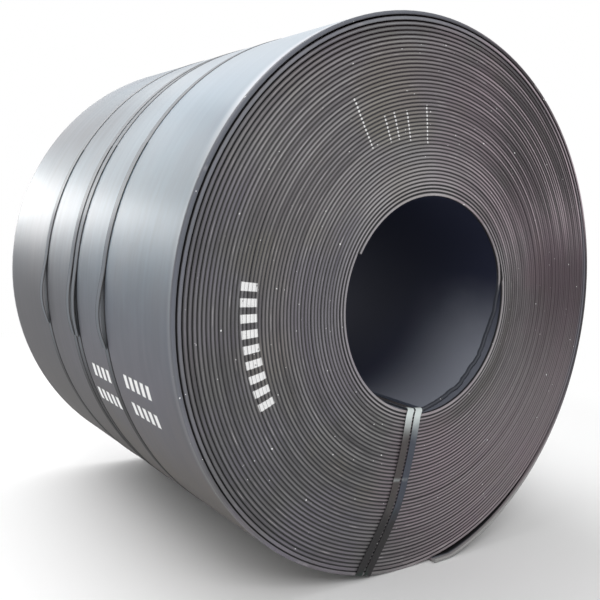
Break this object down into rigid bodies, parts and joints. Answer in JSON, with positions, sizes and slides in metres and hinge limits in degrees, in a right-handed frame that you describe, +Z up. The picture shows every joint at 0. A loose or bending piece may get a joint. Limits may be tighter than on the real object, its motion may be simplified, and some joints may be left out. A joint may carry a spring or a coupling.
{
  "type": "steel coil",
  "caption": "Hot-rolled steel strip wound into a coil that lies on its side, with a round bore, flat steel straps round it and straps through its eye.",
  "frame": {"origin": "on the bore's axis, halfway along the coil's width", "axes": "+Y along the bore, away from the end with the lifted tail in view; +Z up, with the coil lying on a level floor; +X to the right seen from the -Y end"},
  "size_m": [1.9158, 1.533, 1.8906],
  "materials": {
    "mill_scale_steel": "hot-rolled, blue-grey mill scale",
    "strap_steel": "blued steel strap"
  },
  "bodies": {
    "root": {"coil": "mill_scale_steel", "strap_front": "strap_steel", "strap_middle_front": "strap_steel", "strap_middle_rear": "strap_steel", "strap_rear": "strap_steel", "eye_strap_left": "strap_steel", "eye_strap_right": "strap_steel"}
  },
  "joints": []
}
